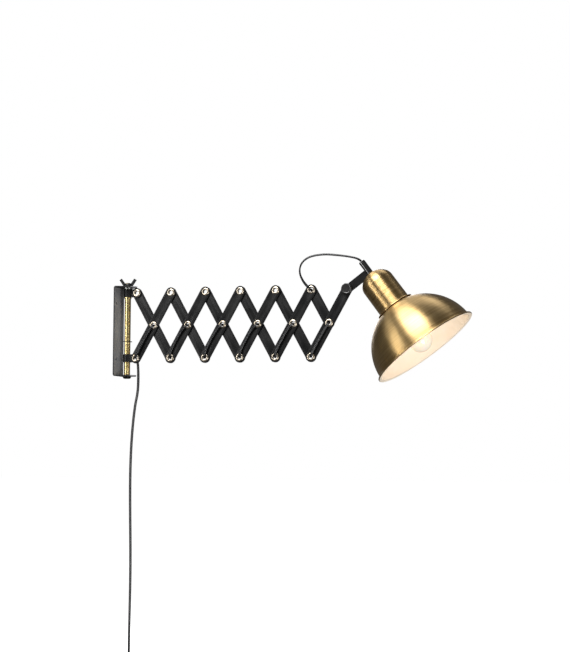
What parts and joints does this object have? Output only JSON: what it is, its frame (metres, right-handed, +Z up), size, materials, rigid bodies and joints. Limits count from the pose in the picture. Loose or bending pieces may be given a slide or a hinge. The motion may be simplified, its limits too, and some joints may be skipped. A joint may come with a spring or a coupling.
{
  "type": "accordion wall lamp",
  "caption": "Wall bracket and rod with a scissor arm of flat bars, a tilting half-sphere shade on a stem, and a cord laced along the bars that hangs down to a plug.",
  "frame": {"origin": "middle of the wall bracket's back face, on the wall", "axes": "+X out of the wall along the arm, +Z up, -Y the lamp's front"},
  "size_m": [0.6943, 0.2126, 0.884],
  "materials": {
    "black_steel": "satin black enamel",
    "nickel": "bright nickel",
    "bracket_grey": "satin grey enamel",
    "rod_brass": "polished",
    "aged_brass": "brushed and aged, lacquered",
    "zinc_steel": "zinc plated",
    "contact_brass": "plain",
    "black_moulding": "moulded, slight gloss",
    "black_cord": "smooth, slightly shiny",
    "opal_glass": "opal white",
    "bulb_cap": "plain"
  },
  "bodies": {
    "wall_frame": {"wall_bracket": "bracket_grey", "guide_rod": "rod_brass", "stop_clip": "black_steel", "thrust_washer": "zinc_steel", "rod_ring": "rod_brass", "rod_end_cap": "black_steel"},
    "wing": {"wing_nut": "black_steel"},
    "upper_slide": {"upper_strap": "black_steel", "upper_strap_eyelet": "nickel"},
    "lower_slide": {"lower_strap": "black_steel", "hanging_cord": "black_cord", "cord_coil": "black_cord", "plug": "black_moulding", "plug_pins": "contact_brass"},
    "back_arm_1": {"back_bar_1": "black_steel", "back_cord_1": "black_cord"},
    "front_arm_1": {"front_bar_1": "black_steel", "eyelets_1": "nickel", "front_cord_1": "black_cord"},
    "back_arm_2": {"back_bar_2": "black_steel", "back_cord_2": "black_cord"},
    "front_arm_2": {"front_bar_2": "black_steel", "eyelets_2": "nickel", "front_cord_2": "black_cord"},
    "back_arm_3": {"back_bar_3": "black_steel", "back_cord_3": "black_cord"},
    "front_arm_3": {"front_bar_3": "black_steel", "eyelets_3": "nickel", "front_cord_3": "black_cord"},
    "back_arm_4": {"back_bar_4": "black_steel", "back_cord_4": "black_cord"},
    "front_arm_4": {"front_bar_4": "black_steel", "eyelets_4": "nickel", "front_cord_4": "black_cord"},
    "back_arm_5": {"back_bar_5": "black_steel", "back_cord_5": "black_cord"},
    "front_arm_5": {"front_bar_5": "black_steel", "eyelets_5": "nickel", "front_cord_5": "black_cord"},
    "back_arm_6": {"back_bar_6": "black_steel", "back_cord_6": "black_cord"},
    "front_arm_6": {"front_bar_6": "black_steel", "eyelets_6": "nickel", "front_cord_6": "black_cord"},
    "head": {"head_link": "black_steel", "stem": "black_steel", "socket_cover": "aged_brass", "cover_nut": "zinc_steel", "lampholder": "black_moulding", "holder_contacts": "contact_brass", "shade": "aged_brass", "shade_ring": "black_moulding", "tilt_screw": "zinc_steel", "loop_cord": "black_cord"},
    "knob": {"tilt_knob": "black_moulding"},
    "bulb": {"bulb_glass": "opal_glass", "bulb_base": "bulb_cap"}
  },
  "joints": [
    {"name": "arm_swivel", "type": "hinge", "parent": "wall_frame", "child": "upper_slide", "pos_m": [0.02, 0, 0], "axis": [0, 0, 1], "range_deg": [-65, 65]},
    {"name": "wing_nut_turn", "type": "hinge", "parent": "wall_frame", "child": "wing", "pos_m": [0.02, 0, 0.09], "axis": [0, 0, 1], "continuous": true},
    {"name": "arm_extend", "type": "hinge", "parent": "upper_slide", "child": "back_arm_1", "pos_m": [0.0388, 0, 0.07445], "axis": [0, -1, 0], "range_deg": [-20.6, 15.6]},
    {"name": "bottom_pivot_2", "type": "hinge", "parent": "back_arm_1", "child": "front_arm_2", "pos_m": [0.1091, 0, -0.05237], "axis": [0, -1, 0], "range_deg": [-31.3, 41.3]},
    {"name": "top_pivot_3", "type": "hinge", "parent": "front_arm_2", "child": "back_arm_3", "pos_m": [0.17939, 0, 0.07445], "axis": [0, -1, 0], "range_deg": [-41.3, 31.3]},
    {"name": "bottom_pivot_4", "type": "hinge", "parent": "back_arm_3", "child": "front_arm_4", "pos_m": [0.24969, 0, -0.05237], "axis": [0, -1, 0], "range_deg": [-31.3, 41.3]},
    {"name": "top_pivot_5", "type": "hinge", "parent": "front_arm_4", "child": "back_arm_5", "pos_m": [0.31999, 0, 0.07445], "axis": [0, -1, 0], "range_deg": [-41.3, 31.3]},
    {"name": "bottom_pivot_6", "type": "hinge", "parent": "back_arm_5", "child": "front_arm_6", "pos_m": [0.39029, 0, -0.05237], "axis": [0, -1, 0], "range_deg": [-31.3, 41.3]},
    {"name": "crossing_1", "type": "hinge", "parent": "back_arm_1", "child": "front_arm_1", "pos_m": [0.07395, 0, 0.01104], "axis": [0, -1, 0], "range_deg": [-31.3, 41.3]},
    {"name": "crossing_2", "type": "hinge", "parent": "front_arm_2", "child": "back_arm_2", "pos_m": [0.14425, 0, 0.01104], "axis": [0, -1, 0], "range_deg": [-41.3, 31.3]},
    {"name": "crossing_3", "type": "hinge", "parent": "back_arm_3", "child": "front_arm_3", "pos_m": [0.21454, 0, 0.01104], "axis": [0, -1, 0], "range_deg": [-31.3, 41.3]},
    {"name": "crossing_4", "type": "hinge", "parent": "front_arm_4", "child": "back_arm_4", "pos_m": [0.28484, 0, 0.01104], "axis": [0, -1, 0], "range_deg": [-41.3, 31.3]},
    {"name": "crossing_5", "type": "hinge", "parent": "back_arm_5", "child": "front_arm_5", "pos_m": [0.35514, 0, 0.01104], "axis": [0, -1, 0], "range_deg": [-31.3, 41.3]},
    {"name": "crossing_6", "type": "hinge", "parent": "front_arm_6", "child": "back_arm_6", "pos_m": [0.42544, 0, 0.01104], "axis": [0, -1, 0], "range_deg": [-41.3, 31.3]},
    {"name": "lower_pivot_1", "type": "hinge", "parent": "front_arm_1", "child": "lower_slide", "pos_m": [0.0388, 0, -0.05237], "axis": [0, -1, 0], "range_deg": [-20.7, 15.7]},
    {"name": "head_tilt", "type": "hinge", "parent": "front_arm_6", "child": "head", "pos_m": [0.46058, 0, 0.07445], "axis": [0, -1, 0], "range_deg": [-37, 40]},
    {"name": "knob_turn", "type": "hinge", "parent": "head", "child": "knob", "pos_m": [0.46058, 0, 0.07445], "axis": [0, 1, 0], "continuous": true},
    {"name": "bulb_turn", "type": "hinge", "parent": "head", "child": "bulb", "pos_m": [0.61014, 0.0014, -0.03761], "axis": [-0.6018, 0, 0.7986], "continuous": true}
  ],
  "couplings": [
    {"joint": "bottom_pivot_2", "follows": "arm_extend", "ratio": -2},
    {"joint": "top_pivot_3", "follows": "arm_extend", "ratio": 2},
    {"joint": "bottom_pivot_4", "follows": "arm_extend", "ratio": -2},
    {"joint": "top_pivot_5", "follows": "arm_extend", "ratio": 2},
    {"joint": "bottom_pivot_6", "follows": "arm_extend", "ratio": -2},
    {"joint": "crossing_1", "follows": "arm_extend", "ratio": -2},
    {"joint": "crossing_2", "follows": "arm_extend", "ratio": 2},
    {"joint": "crossing_3", "follows": "arm_extend", "ratio": -2},
    {"joint": "crossing_4", "follows": "arm_extend", "ratio": 2},
    {"joint": "crossing_5", "follows": "arm_extend", "ratio": -2},
    {"joint": "crossing_6", "follows": "arm_extend", "ratio": 2},
    {"joint": "lower_pivot_1", "follows": "arm_extend", "ratio": 1}
  ]
}
